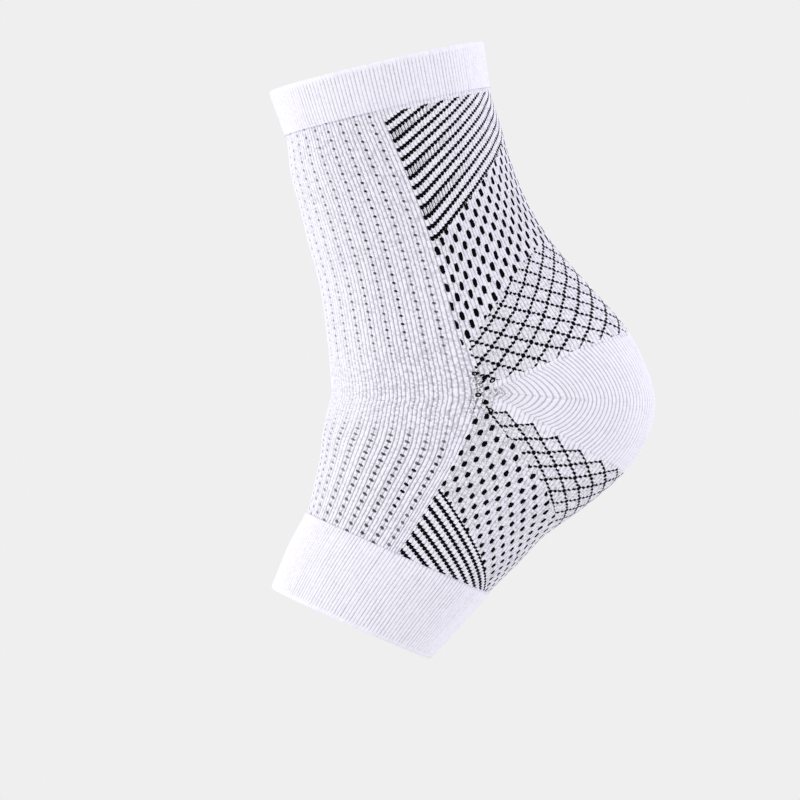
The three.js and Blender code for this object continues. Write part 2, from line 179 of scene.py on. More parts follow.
class SleeveSizes(PropertyGroup):
    """Sizes of the sleeve. A ratio in a default turns a side of a packed box into the size."""

    leg_height: FloatProperty(
        name="Leg height", description="Ankle point up to the leg rim",
        default=LEG_CUFF_HIGH.z, min=0.05, max=0.4, subtype="DISTANCE", unit="LENGTH")
    leg_lean: FloatProperty(
        name="Leg lean", description="How far the leg rim lies in front of the ankle point",
        default=-(LEG_CUFF_LOW.x + LEG_CUFF_HIGH.x) / 2, min=0, max=0.1, subtype="DISTANCE", unit="LENGTH")
    foot_reach: FloatProperty(
        name="Foot reach", description="Ankle point to the middle of the foot rim",
        default=-1.0639 * FOOT_CUFF_LOW.x, min=0.04, max=0.3, subtype="DISTANCE", unit="LENGTH")
    foot_slope: FloatProperty(
        name="Foot slope", description="How steeply the foot part runs down",
        default=math.radians(47), min=0, max=math.pi / 2, subtype="ANGLE", unit="ROTATION")
    foot_tilt: FloatProperty(
        name="Foot tilt", description="Angle of the foot rim against the leg rim",
        default=math.radians(37), min=0, max=math.pi / 2, subtype="ANGLE", unit="ROTATION")
    foot_bow: FloatProperty(
        name="Foot bow", description="How far the foot part sags below a straight line",
        default=0.004, min=0, max=0.02, subtype="DISTANCE", unit="LENGTH")
    calf_depth: FloatProperty(
        name="Calf depth", description="Front to back at the leg cuff",
        default=0.9663 * (LEG_CUFF_HIGH.x - LEG_CUFF_LOW.x), min=0.04, max=0.2, subtype="DISTANCE",
        unit="LENGTH")
    calf_width: FloatProperty(
        name="Calf width", description="Side to side at the leg cuff",
        default=0.9637 * (LEG_CUFF_HIGH.y - LEG_CUFF_LOW.y), min=0.04, max=0.2, subtype="DISTANCE",
        unit="LENGTH")
    heel_depth: FloatProperty(
        name="Heel depth", description="Instep to the back of the heel",
        default=1.9397 * HEEL_HIGH.x, min=0.06, max=0.25, subtype="DISTANCE", unit="LENGTH")
    ankle_width: FloatProperty(
        name="Ankle width", description="Side to side over the ankle bones",
        default=1.0050 * (HEEL_HIGH.y - HEEL_LOW.y), min=0.03, max=0.15, subtype="DISTANCE",
        unit="LENGTH")
    arch_depth: FloatProperty(
        name="Arch depth", description="Instep to sole at the foot cuff's seam",
        default=0.9479 * (FOOT_CUFF_HIGH.x - FOOT_CUFF_LOW.x), min=0.03, max=0.15, subtype="DISTANCE",
        unit="LENGTH")
    arch_width: FloatProperty(
        name="Arch width", description="Side to side at the foot cuff's seam",
        default=0.9986 * (FOOT_CUFF_HIGH.y - FOOT_CUFF_LOW.y), min=0.03, max=0.15, subtype="DISTANCE",
        unit="LENGTH")
    leg_cuff_height: FloatProperty(
        name="Leg cuff height", description="Leg rim to its seam",
        default=1.0049 * (LEG_CUFF_HIGH.z - LEG_CUFF_LOW.z), min=0.005, max=0.06, subtype="DISTANCE",
        unit="LENGTH")
    foot_cuff_height: FloatProperty(
        name="Foot cuff height", description="Foot rim to its seam",
        default=0.032, min=0.005, max=0.06, subtype="DISTANCE", unit="LENGTH")
    heel_rise: FloatProperty(
        name="Heel rise", description="Heel cup's upper edge above the gore line at the back",
        default=0.3559 * (HEEL_HIGH.z - HEEL_LOW.z), min=0.005, max=0.06, subtype="DISTANCE",
        unit="LENGTH")
    heel_drop: FloatProperty(
        name="Heel drop", description="Heel cup's lower edge below the gore line at the back",
        default=0.4068 * (HEEL_HIGH.z - HEEL_LOW.z), min=0.005, max=0.06, subtype="DISTANCE",
        unit="LENGTH")
    knit_wall: FloatProperty(
        name="Knit wall", description="Thickness of the single knit",
        default=0.0014, min=0.0004, max=0.005, subtype="DISTANCE", unit="LENGTH")
    cuff_wall: FloatProperty(
        name="Cuff wall", description="Thickness of the doubled cuffs",
        default=0.0022, min=0.0008, max=0.006, subtype="DISTANCE", unit="LENGTH")
    cuff_step: FloatProperty(
        name="Cuff step", description="How far the cuffs stand proud of the knit",
        default=0.0006, min=0, max=0.003, subtype="DISTANCE", unit="LENGTH")
    rib_depth: FloatProperty(
        name="Rib depth", description="Valley to crest of the cuffs' ribs",
        default=0.0003, min=0, max=0.002, subtype="DISTANCE", unit="LENGTH")
    stitch_depth: FloatProperty(
        name="Stitch depth", description="Valley to crest of one stitch column of the panels",
        default=0.00022, min=0, max=0.001, subtype="DISTANCE", unit="LENGTH")
    seam_gap: FloatProperty(
        name="Seam gap", description="Between two neighbouring pieces",
        default=0.00002, min=0, max=0.0005, subtype="DISTANCE", unit="LENGTH")
    stitch_steps: IntProperty(
        name="Stitch steps", description="Mesh columns in one stitch column",
        default=4, min=2, max=6)


class SleeveColours(PropertyGroup):
    """Colours of the yarns, of the painted shade between stitches and of the stage"""

    white_yarn: FloatVectorProperty(
        name="White yarn", description="Colour of the ground knit",
        default=(0.90, 0.885, 0.97), min=0, max=1, subtype="COLOR")
    # Painted shade between stitch columns and between a stitch's legs; the yarn's grain and unevenness mix
    # towards this colour too
    valley_shade_and_tone: FloatVectorProperty(
        name="Yarn in the valleys", description="Colour between two stitch columns",
        default=(0.42, 0.41, 0.48), min=0, max=1, subtype="COLOR")
    dark_yarn: FloatVectorProperty(
        name="Dark yarn", description="Colour of the stripes, dashes and diamonds",
        default=(0.002, 0.002, 0.004), min=0, max=1, subtype="COLOR")
    grey_yarn: FloatVectorProperty(
        name="Grey yarn", description="Colour where the dark yarn shines through",
        default=(0.30, 0.30, 0.33), min=0, max=1, subtype="COLOR")
    backdrop: FloatVectorProperty(
        name="Backdrop", description="Colour of the floor and the room",
        default=(0.863, 0.863, 0.863), min=0, max=1, subtype="COLOR")


def form_rows(sizes):
    """The rows of the form as numbers: middle x and z, tilt, half sizes, taper and squareness."""
    depths = {"calf": sizes.calf_depth, "heel": sizes.heel_depth, "arch": sizes.arch_depth}
    widths = {"calf": sizes.calf_width, "ankle": sizes.ankle_width, "arch": sizes.arch_width}
    run = math.cos(sizes.foot_slope)
    fall = math.sin(sizes.foot_slope)
    rows = []
    for along, lean, bow, tilt, front, back, side, taper, full_front, full_back in FORM:
        reach = sizes.foot_reach * max(0, along - 1)
        height = sizes.leg_height * max(0, 1 - along)
        sag = sizes.foot_bow * bow
        rows.append((
            -sizes.leg_lean * lean - reach * run + sag * fall,
            height - reach * fall - sag * run,
            sizes.foot_tilt * tilt,
            depths[front[0]] * front[1],
            depths[back[0]] * back[1],
            widths[side[0]] * side[1],
            taper, full_front, full_back,
        ))
    return np.array([row[0] for row in FORM]), np.array(rows)


def section_at(form, along):
    """The form's row at each value of along, on a smooth curve through the rows."""
    places, rows = form
    start = np.clip(np.searchsorted(places, along, side="right") - 1, 0, len(places) - 2)
    before = np.maximum(start - 1, 0)
    after = np.minimum(start + 2, len(places) - 1)
    span = places[start + 1] - places[start]
    u = ((along - places[start]) / span)[..., None]
    slope_in = (span / (places[start + 1] - places[before]))[..., None] * (rows[start + 1] - rows[before])
    slope_out = (span / (places[after] - places[start]))[..., None] * (rows[after] - rows[start])
    return ((2 * u**3 - 3 * u**2 + 1) * rows[start] + (u**3 - 2 * u**2 + u) * slope_in
            + (3 * u**2 - 2 * u**3) * rows[start + 1] + (u**3 - u**2) * slope_out)


def outline_radius(section, angle):
    """Distance from a section's middle to its outline, at an angle counted from the front."""
    ahead = np.cos(angle)
    depth = np.where(ahead > 0, section[..., 3], section[..., 4])
    full = np.where(ahead > 0, section[..., 7], section[..., 8])
    side = section[..., 5] * (1 + section[..., 6] * ahead)
    return (np.abs(ahead / depth)**full + np.abs(np.sin(angle) / side)**full)**(-1 / full)


def angle_at(section, girth):
    """The angle that lies a share of the arc into its quarter. girth is 0 in front, 2 at the back."""
    start = np.where(girth < 1, 0, math.pi / 2)
    share = np.where(girth < 1, girth, girth - 1)
    angles = start[..., None] + np.linspace(0, math.pi / 2, ARC_SAMPLES + 1)
    radii = outline_radius(section[..., None, :], angles)
    across = radii * np.cos(angles)
    beside = radii * np.sin(angles)
    steps = np.hypot(np.diff(across, axis=-1), np.diff(beside, axis=-1))
    lengths = np.concatenate([np.zeros(steps.shape[:-1] + (1,)), np.cumsum(steps, axis=-1)], axis=-1)
    wanted = share * lengths[..., -1]
    upper = np.clip((lengths < wanted[..., None]).sum(-1), 1, ARC_SAMPLES)
    low = np.take_along_axis(lengths, (upper - 1)[..., None], -1)[..., 0]
    high = np.take_along_axis(lengths, upper[..., None], -1)[..., 0]
    part = (wanted - low) / (high - low)
    return start + (upper - 1 + part) / ARC_SAMPLES * math.pi / 2


def skin(form, along, girth):
    """Points of the outer surface. girth counts quarters round, from the front middle."""
    wrapped = np.mod(girth, 4)
    near = wrapped <= 2
    section = section_at(form, along)
    angle = angle_at(section, np.where(near, wrapped, 4 - wrapped))
    radius = outline_radius(section, angle)
    across = -radius * np.cos(angle)
    return np.stack([
        section[..., 0] + across * np.cos(section[..., 2]),
        np.where(near, -1, 1) * radius * np.sin(angle),
        section[..., 1] - across * np.sin(section[..., 2]),
    ], axis=-1)


def raised_skin(form, along, girth, height):
    """Points of the surface lifted by a height along its normal, or sunk where that is negative."""
    down = skin(form, along + SLOPE_STEP, girth) - skin(form, along - SLOPE_STEP, girth)
    round_ = skin(form, along, girth + SLOPE_STEP) - skin(form, along, girth - SLOPE_STEP)
    normal = np.cross(down, round_)
    normal /= np.linalg.norm(normal, axis=-1, keepdims=True)
    return skin(form, along, girth) + normal * height[..., None]


def along_for(form, length, along, girth):
    """Change of along that moves a point of the surface by a length."""
    step = skin(form, along + SLOPE_STEP, girth) - skin(form, along, girth)
    return length * SLOPE_STEP / np.linalg.norm(step, axis=-1)


def girth_for(form, length, along, girth):
    """Change of girth that moves a point of the surface by a length."""
    step = skin(form, along, girth + SLOPE_STEP) - skin(form, along, girth)
    return length * SLOPE_STEP / np.linalg.norm(step, axis=-1)


class Edges:
    """The lines that the pieces share, as values of along at a girth."""

    def __init__(self, sizes):
        self.leg_seam = sizes.leg_cuff_height / sizes.leg_height
        self.foot_seam = 2 - sizes.foot_cuff_height / sizes.foot_reach
        self.rise = sizes.heel_rise / sizes.leg_height
        self.drop = sizes.heel_drop / sizes.foot_reach

    def at_leg_seam(self, girth):
        return np.full_like(girth, self.leg_seam)

    def at_foot_seam(self, girth):
        return np.full_like(girth, self.foot_seam)

    def towards_back(self, girth):
        share = np.minimum(1, np.minimum(np.abs(girth - 1), np.abs(girth - 3)))
        return np.sin(share * math.pi / 2)

    def heel_top(self, girth):
        return 1 - self.rise * self.towards_back(girth)

    def heel_bottom(self, girth):
        return 1 + self.drop * self.towards_back(girth)


def blank_mesh(name, columns, rows, thickness=0.0):
    """A flat knitted blank: x and y run from 0 to 1, and z from 0 down by the thickness, if any."""
    bm = bmesh.new()
    bmesh.ops.create_grid(bm, x_segments=columns, y_segments=rows, size=0.5,
                          matrix=Matrix.Translation((0.5, 0.5, 0)))
    if thickness:
        bmesh.ops.solidify(bm, geom=bm.faces[:], thickness=thickness)
        bmesh.ops.recalc_face_normals(bm, faces=bm.faces[:])
    mesh = bpy.data.meshes.new(name)
    bm.to_mesh(mesh)
    bm.free()
    return mesh


def mesh_points(mesh):
    """The mesh's points as rows of x, y and z."""
    points = np.zeros(len(mesh.vertices) * 3)
    mesh.vertices.foreach_get("co", points)
    return points.reshape(-1, 3)


def stitch_map(mesh, wales, courses):
    """A UV map that holds the stitch counts of each vertex."""
    corners = np.zeros(len(mesh.loops), dtype=np.int32)
    mesh.loops.foreach_get("vertex_index", corners)
    layer = mesh.uv_layers.new(name="Stitches")
    counts = np.stack([wales[corners], courses[corners]], axis=-1)
    layer.data.foreach_set("uv", counts.ravel())


def wrapped_piece(mesh, points, material, node):
    """Gives a blank its wrapped points, joins its edges and hands it to the frame."""
    mesh.vertices.foreach_set("co", points.ravel())
    bm = bmesh.new()
    bm.from_mesh(mesh)
    bmesh.ops.remove_doubles(bm, verts=bm.verts[:], dist=WELD)
    bmesh.ops.recalc_face_normals(bm, faces=bm.faces[:])
    for face in bm.faces:
        face.smooth = True
    bm.to_mesh(mesh)
    bm.free()
    mesh.set_sharp_from_angle(angle=SHARP_EDGE)
    mesh.materials.append(material)
    piece = bpy.data.objects.new(mesh.name, mesh)
    bpy.context.scene.collection.objects.link(piece)
    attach(piece, "root")
    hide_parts(node)
    return piece


def rounded_rib(wales):
    """1 on the crest of each stitch column and 0 in the valleys between them."""
    return np.abs(np.sin(math.pi * wales))


def straight_wales(wales, down, along):
    """The bend of stitch columns that lie straight."""
    return np.zeros_like(wales)


def make_panel(name, node, material, sizes, girths, edges, courses, relief, columns, rows,
               bend=straight_wales):
    """A knitted panel between two edges and two girths, with its stitches counted.

    bend says how many wales a stitch column lies aside of its straight line.
    """
    form = form_rows(sizes)
    top_edge, bottom_edge = edges
    centre = (girths[0] + girths[1]) / 2
    mesh = blank_mesh(name, columns, rows, thickness=1.0)
    flat = mesh_points(mesh)
    plain = girths[0] + flat[:, 0] * (girths[1] - girths[0])
    middle = (top_edge(plain) + bottom_edge(plain)) / 2
    inset = girth_for(form, sizes.seam_gap / 2, middle, plain)
    straight = girths[0] + inset + flat[:, 0] * (girths[1] - girths[0] - 2 * inset)
    down = 1 - flat[:, 1]
    along = top_edge(straight) + down * (bottom_edge(straight) - top_edge(straight))
    wales, rows_down = courses(straight, down, along)
    stitch_map(mesh, wales, rows_down)
    aside = bend(np.abs(wales), down, along) / WALES * np.sign(centre - straight)
    girth = straight + aside
    top = top_edge(girth) + along_for(form, sizes.seam_gap / 2, top_edge(girth), girth)
    bottom = bottom_edge(girth) - along_for(form, sizes.seam_gap / 2, bottom_edge(girth), girth)
    along = top + down * (bottom - top)
    outer = 1 + flat[:, 2]
    height = flat[:, 2] * sizes.knit_wall + outer * relief(wales, rows_down)
    return wrapped_piece(mesh, raised_skin(form, along, girth, height), material, node)


def make_cuff(name, node, material, sizes, rim, seam, courses):
    """A ribbed, doubled band: outer wall, round fold at the rim, inner wall, closed at the seam."""
    form = form_rows(sizes)
    columns = 4 * WALES * sizes.stitch_steps
    wall_rows = max(6, courses // 2)
    rows = wall_rows + FOLD_ROWS + INNER_ROWS + END_ROWS
    mesh = blank_mesh(name, columns, rows)
    flat = mesh_points(mesh)
    girth = flat[:, 0] * 4
    step = flat[:, 1] * rows
    radius = sizes.cuff_wall / 2
    middle = sizes.cuff_step - radius
    inwards = np.sign(seam - rim)
    rim_along = np.full_like(girth, rim)
    seam_along = np.full_like(girth, seam)
    fold = rim + inwards * along_for(form, radius, rim_along, girth)
    edge = seam - inwards * along_for(form, sizes.seam_gap / 2, seam_along, girth)
    outer_share = np.clip(step / wall_rows, 0, 1)
    fold_share = np.clip((step - wall_rows) / FOLD_ROWS, 0, 1)
    inner_share = np.clip((step - wall_rows - FOLD_ROWS) / INNER_ROWS, 0, 1)
    end_share = np.clip((step - wall_rows - FOLD_ROWS - INNER_ROWS) / END_ROWS, 0, 1)
    turn = math.pi * fold_share
    round_rim = along_for(form, radius, rim_along, girth) * np.sin(turn)
    along = edge + outer_share * (fold - edge) - inwards * round_rim + inner_share * (edge - fold)
    side = np.cos(turn) * (1 - end_share) + end_share
    wales = girth * WALES
    rows_down = courses * np.where(step <= wall_rows, 1 - outer_share, 0.0)
    stitch_map(mesh, wales, rows_down)
    ribbed = np.clip(np.cos(turn) + RIB_REACH, 0, 1) * (1 - inner_share)
    strength = np.random.default_rng(RIB_SEED).uniform(FAINTEST_RIB, 1.0, 4 * WALES)
    crest = strength[np.mod(np.floor(wales), 4 * WALES).astype(int)] * (rounded_rib(wales) - 1)
    pinch = np.exp(-outer_share * courses / PINCH_COURSES) * (step <= wall_rows)
    height = middle + radius * side + sizes.rib_depth * ribbed * crest - PINCH_DEPTH * pinch
    return wrapped_piece(mesh, raised_skin(form, along, girth, height), material, node)


class Value:
    """A socket in Python maths: each sign adds one Math node to its material."""

    def __init__(self, shader, socket):
        self.shader = shader
        self.socket = socket

    def maths(self, operation, *inputs):
        return self.shader.maths(operation, self, *inputs)

    def __add__(self, other):
        return self.maths("ADD", other)

    def __radd__(self, other):
        return self.maths("ADD", other)

    def __sub__(self, other):
        return self.maths("SUBTRACT", other)

    def __rsub__(self, other):
        return self.shader.maths("SUBTRACT", other, self)

    def __mul__(self, other):
        return self.maths("MULTIPLY", other)

    def __rmul__(self, other):
        return self.maths("MULTIPLY", other)

    def __truediv__(self, other):
        return self.maths("DIVIDE", other)

    def __rtruediv__(self, other):
        return self.shader.maths("DIVIDE", other, self)

    def __lt__(self, other):
        return self.maths("LESS_THAN", other)

    def __gt__(self, other):
        return self.maths("GREATER_THAN", other)

    def __abs__(self):
        return self.maths("ABSOLUTE")

    def floor(self):
        return self.maths("FLOOR")

    def fract(self):
        return self.maths("FRACT")

    def sine(self):
        return self.maths("SINE")

    def root(self):
        return self.maths("SQRT")

    def smaller(self, other):
        return self.maths("MINIMUM", other)

    def larger(self, other):
        return self.maths("MAXIMUM", other)


class Shader:
    """A new material and the nodes that its maths adds."""

    def __init__(self, name):
        self.material = bpy.data.materials.new(name)
        self.material.use_nodes = True
        self.tree = self.material.node_tree
        self.surface = self.tree.nodes["Principled BSDF"]

    def node(self, kind, settings=None, **inputs):
        """Adds a node: its settings first, then its sockets, by name with _ for a space."""
        node = self.tree.nodes.new(kind)
        for name, value in (settings or {}).items():
            setattr(node, name, value)
        for name, value in inputs.items():
            self.feed(node.inputs[name.replace("_", " ")], value)
        return node

    def feed(self, socket, value):
        if isinstance(value, Value):
            value = value.socket
        if isinstance(value, bpy.types.NodeSocket):
            self.tree.links.new(value, socket)
        else:
            socket.default_value = value

    def maths(self, operation, *values):
        node = self.tree.nodes.new("ShaderNodeMath")
        node.operation = operation
        for socket, value in zip(node.inputs, values):
            self.feed(socket, value)
        return Value(self, node.outputs[0])

    def mix(self, share, first, second):
        """A colour that goes from first to second as share goes from 0 to 1."""
        node = self.tree.nodes.new("ShaderNodeMix")
        node.data_type = "RGBA"
        self.feed(node.inputs[0], share)
        self.feed(node.inputs[6], first)
        self.feed(node.inputs[7], second)
        return node.outputs[2]

    def smooth(self, value, low, high):
        """0 below low and 1 above high, with a smooth ramp between them."""
        node = self.tree.nodes.new("ShaderNodeMapRange")
        node.interpolation_type = "SMOOTHSTEP"
        for socket, number in zip(node.inputs, (value, low, high, 0.0, 1.0)):
            self.feed(socket, number)
        return Value(self, node.outputs[0])


def linear(colour):
    """A colour property as the four numbers that a socket takes."""
    return (*colour, 1.0)


class Knit:
    """What every knitted finish shares: stitch counts, the light between stitches, fibre grain."""

    def __init__(self, name, colours):
        self.shader = Shader(name)
        self.colours = colours
        counts = self.shader.node("ShaderNodeUVMap", {"uv_map": "Stitches"})
        split = self.shader.node("ShaderNodeSeparateXYZ", Vector=counts.outputs["UV"])
        self.wale = Value(self.shader, split.outputs["X"])
        self.course = Value(self.shader, split.outputs["Y"])
        place = self.shader.node("ShaderNodeTexCoord")
        grain = self.shader.node("ShaderNodeTexNoise", Vector=place.outputs["Object"],
                                 Scale=GRAIN_SCALE, Detail=2.0)
        self.grain = Value(self.shader, grain.outputs["Fac"]) - 0.5
        cloud = self.shader.node("ShaderNodeTexNoise", Vector=place.outputs["Object"],
                                 Scale=CLOUD_SCALE, Detail=2.0)
        self.cloud = Value(self.shader, cloud.outputs["Fac"]) - 0.5

    def chance(self, wale, course):
        """A number from 0 to 1 that is the same all over one stitch."""
        stitch = self.shader.node("ShaderNodeCombineXYZ", X=wale, Y=course)
        random = self.shader.node("ShaderNodeTexWhiteNoise", Vector=stitch.outputs["Vector"])
        return Value(self.shader, random.outputs["Value"])

    def stitch(self, wale):
        """Heights of a stitch column across it and of its two slanting legs down it."""
        across = from_middle(wale)
        leg = (self.course + across * LEG_SLANT).fract()
        body = 1 - abs(leg - 0.5) * 2
        column = 1 - across * across
        return column, body

    def finish(self, column, body, dark=0.0, grey=0.0, *, contrast, speck):
        """Joins the yarn colours, the painted shade in the valleys between stitches and the bump.

        contrast is the depth of the valleys' painted shade, and speck the unevenness from stitch to stitch.
        """
        colours = self.colours
        chance = self.chance((self.wale * 2).floor(), self.course.floor())
        # Painted shade in the valleys between stitch columns and between a stitch's legs, together with the
        # yarn's own grain, specks and unevenness
        shade = (1 - self.shader.smooth(column, 0.0, 0.8)) * contrast
        shade = shade + (1 - body) * LEG_SHADE * contrast + self.grain * GRAIN_SHADE
        shade = shade + (chance - 0.5) * speck + self.cloud * CLOUD_SHADE - BASE_SHADE
        ground = self.shader.mix(shade.larger(0.0), linear(colours.white_yarn), linear(colours.valley_shade_and_tone))
        ground = self.shader.mix(grey, ground, linear(colours.grey_yarn))
        colour = self.shader.mix(dark, ground, linear(colours.dark_yarn))
        height = column * 0.5 + body * 0.35 + self.grain * 0.4 + dark * 0.25
        bump = self.shader.node("ShaderNodeBump", Strength=BUMP_STRENGTH,
                                Distance=BUMP_HEIGHT, Height=height)
        surface = self.shader.surface
        self.shader.feed(surface.inputs["Base Color"], colour)
        self.shader.feed(surface.inputs["Normal"], bump.outputs["Normal"])
        surface.inputs["Roughness"].default_value = YARN_ROUGHNESS
        surface.inputs["Specular IOR Level"].default_value = YARN_SPECULAR
        return self.shader.material


def blob(across, down, roundness):
    """1 inside an oval whose half sizes are 1, and 0 outside it."""
    return (across * across + down * down * down * down + roundness) < 1


def from_middle(wale):
    """0 in the middle of a stitch column and 1 at both its edges."""
    return abs(wale.fract() - 0.5) * 2


def from_whole(value):
    """How far a value is past the nearest whole number, or below zero before it."""
    return (value + 0.5).fract() - 0.5


def cuff_finish(colours):
    """Ribbed elastic knit: fine ribs of uneven strength, strongest at the sides of the leg, with painted
    shade in their valleys and a painted highlight along the rim's fold.
    """
    knit = Knit("Cuff rib", colours)
    column, body = knit.stitch(knit.wale)
    streak = knit.shader.node("ShaderNodeCombineXYZ", X=knit.wale * 0.8, Y=knit.course * 0.05)
    uneven = knit.shader.node("ShaderNodeTexNoise", Vector=streak.outputs["Vector"], Scale=1.0, Detail=3.0)
    uneven = knit.shader.smooth(Value(knit.shader, uneven.outputs["Fac"]), 0.3, 0.7) * 0.3 + 0.7
    # The painted shade in the rib valleys is strongest at the sides of the leg and fainter at the front and
    # the back
    beside = abs(((knit.wale / WALES - 1) / 2).fract() - 0.5) * 2
    sides = 0.35 + knit.shader.smooth(beside, 0.1, 0.6) * 0.65
    # Painted highlight along the rim's fold: the painted shade in the rib valleys is halved there
    rim_highlight_fade = 0.5 + knit.shader.smooth(knit.course, 0.2, 1.4) * 0.5
    ribbed = uneven * sides * rim_highlight_fade
    return knit.finish(1 - (1 - column) * ribbed, body, contrast=0.9, speck=0.2)


def straight_wale(wale):
    """Wales counted evenly: towards the sides the knit is stretched wider than at the back."""
    swing = ((wale - 1.2) * (math.pi / 41)).sine()
    return wale - swing * swing * 2


def dashes(wale, course, pattern, roundness):
    """Upright dashes in lanes, one in each pitch of a lane."""
    beside = from_whole(wale / pattern["lane"])
    fall = from_whole(course / pattern["pitch"])
    half_width = pattern["half_width"]
    half_length = pattern["half_length"]
    return blob(beside * (pattern["lane"] / half_width), fall * (pattern["pitch"] / half_length), roundness)


def diamond_net(wale, course, net):
    """A net of dotted lines, three stitches from one knot's wale to the next."""
    place = (wale - net["first_wale"]) / net["spacing"]
    step = (place * 3 + 0.5).floor() / 3 * 0.8 + place * 0.2
    along_stitch = abs(from_whole(place * 3)) * 2
    rise = (course - net["first_course"]) / net["drop"]
    thick = 0.424 + along_stitch * along_stitch * 0.02
    first = abs((rise + step / 2).fract() - 0.5)
    second = abs((rise - step / 2).fract() - 0.5)
    line = first.larger(second) > thick
    knot = (first.smaller(second) > 0.37) * (along_stitch < 0.9)
    return line.larger(knot)


def from_knot(wale, net):
    """Wales to the nearest knot of a net's hem, where every second knot lies."""
    repeat = 2 * net["spacing"]
    return abs(from_whole((wale - net["first_wale"]) / repeat)) * repeat


def tip_knots(wale, course):
    """Knots that swing from side to side past the heel cup's tip, every other one hollow."""
    count = ((course - TIP_COURSE) / TIP_PITCH + 0.5).floor()
    across = wale - TIP_WALE - (count * (math.pi / 2)).sine() * TIP_SWING
    down = course - TIP_COURSE - count * TIP_PITCH
    size = 0.5 + (wale > 0.3) * 0.13
    knot = blob(across / size, down / 0.9, 0.0)
    hollow = blob(across / (size * 0.36), down / 0.32, 0.0) * ((count / 2).fract() > 0.25)
    return knot * (1 - hollow) * (count > 2.5) * (count < 10.5)


def upper_pattern(knit, raw_wale, raw_course):
    """Shares of dark and grey yarn: stripes below the leg cuff, then dashes, then a diamond net."""
    wale = straight_wale(raw_wale)
    across = from_middle(wale)
    step = raw_wale - wale.fract() + 0.5
    course = raw_course + across * STITCH_SLANT

    # The stripes rise towards the back and are counted downwards, closer together lower down
    lifted = course + step * 0.65 + step * step * 0.006 - 5.6
    count = ((lifted * 0.14 + 16).larger(0.0).root() - 4) / 0.07
    width = STRIPE_WIDTH - raw_wale * 0.0022 - across * across * 0.06
    inside = (count > -0.4) * (count < STRIPES) * (course > 2.2)
    stripe = (abs(from_whole(count)) < width) * inside
    rung = (((count + 3).floor() / 4).fract() < 0.1) * inside * (across < 0.36)
    rung = rung * (0.9 - raw_wale * 0.045).larger(0.0)

    # Every other lane of dashes is half a pitch lower, and the lanes drift where the leg narrows
    narrowing = (raw_course - 67).larger(0.0).smaller(25.0)
    drawn = wale + narrowing * ((raw_wale + 6) * (math.pi / 48)).sine() * 0.095
    odd = ((drawn + 0.2) / 4).fract() > 0.5
    sink = wale * 0.34 - wale * wale * 0.005
    dash_course = course - UPPER_DASHES["first"] - sink - odd * UPPER_DASHES["stagger"]
    dash = dashes(drawn - 0.8, dash_course, UPPER_DASHES, knit.grain * 1.5) * (count > STRIPES - 0.3)

    # The net fills what lies below a curved border, down to a hem of points above the heel cup
    below = raw_course > (106 - raw_wale * 1.2 + raw_wale * raw_wale * 0.014)
    net_course = raw_course + (12 - raw_wale).larger(0.0) * 0.18 + knit.cloud * 2 + knit.grain
    hemmed = net_course < (129.4 - from_knot(raw_wale, UPPER_NET) * 1.331).smaller(127.5)
    net = diamond_net(raw_wale, net_course, UPPER_NET) * hemmed * (raw_wale > -0.6)
    net = net.larger(tip_knots(raw_wale, raw_course))
    dark = (stripe.larger(dash).larger(rung) * (1 - below)).larger(net * below)

    mottled = ((0.25 - raw_wale * 0.009).larger(0.04) + knit.grain * 1.4).larger(0.0)
    net_ground = below * hemmed.larger(raw_wale < 2.5) * mottled
    dash_ground = (count > STRIPES + 0.1) * (1 - below) * 0.06
    return dark, net_ground.larger(dash_ground)


def sole_pattern(knit, wale, raw_course):
    """Shares of dark and grey yarn: a diamond net along the heel, then dashes, then stripes."""
    across = from_middle(wale)
    step = wale.floor() + 0.5
    course = raw_course + across * STITCH_SLANT

    # The net hangs from a hem of points below the heel cup
    above = raw_course < (wale * 0.8 + 6.5)
    net_course = raw_course + wale * 0.08 + knit.cloud * 2 + knit.grain
    hemmed = net_course > (from_knot(wale, SOLE_NET) * 1.22 + 3.2)
    net = diamond_net(wale, net_course, SOLE_NET) * hemmed
    net = net.larger(tip_knots(wale, raw_course + LEG_COURSES))

    # Dashes down to a thin line, and stripes from there to the foot cuff
    odd = (wale / (2 * SOLE_DASHES["lane"]) + 0.25).fract() > 0.5
    lifted = course - step * 0.75 - step * step * 0.012
    dash_course = course - SOLE_DASHES["first"] + wale * 0.2 + odd * SOLE_DASHES["stagger"]
    dash = dashes(wale, dash_course, SOLE_DASHES, knit.grain * 2.4) * (lifted < THIN_LINE)
    line = abs(lifted - THIN_LINE) < 0.66
    width = STRIPE_WIDTH - across * across * 0.06
    stripe = abs(from_whole((lifted - SOLE_STRIPE_START) / SOLE_STRIPE_PITCH)) < width
    stripe = stripe * (lifted > SOLE_STRIPE_BORDER)
    dark = (dash + line + stripe).smaller(1.0) * (1 - above)

    mottled = (0.1 + knit.shader.smooth(wale, 16.0, 2.0) * 0.16 + knit.grain * 2.2).larger(0.0)
    net_ground = above * hemmed.larger(wale < 2.5) * mottled
    dash_ground = (lifted < THIN_LINE - 1.8) * (1 - above) * mottled
    return dark.larger(net * above), net_ground.larger(dash_ground)


def back_finish(colours):
    """White knit with the upper pattern in dark yarn."""
    knit = Knit("Upper pattern", colours)
    column, body = knit.stitch(knit.wale)
    dark, grey = upper_pattern(knit, knit.wale, knit.course)
    return knit.finish(column, body, dark, grey, contrast=0.8, speck=0.7)


def sole_finish(colours):
    """White knit with the sole's pattern in dark yarn."""
    knit = Knit("Sole pattern", colours)
    column, body = knit.stitch(knit.wale)
    dark, grey = sole_pattern(knit, knit.wale, knit.course)
    return knit.finish(column, body, dark, grey, contrast=0.8, speck=0.7)


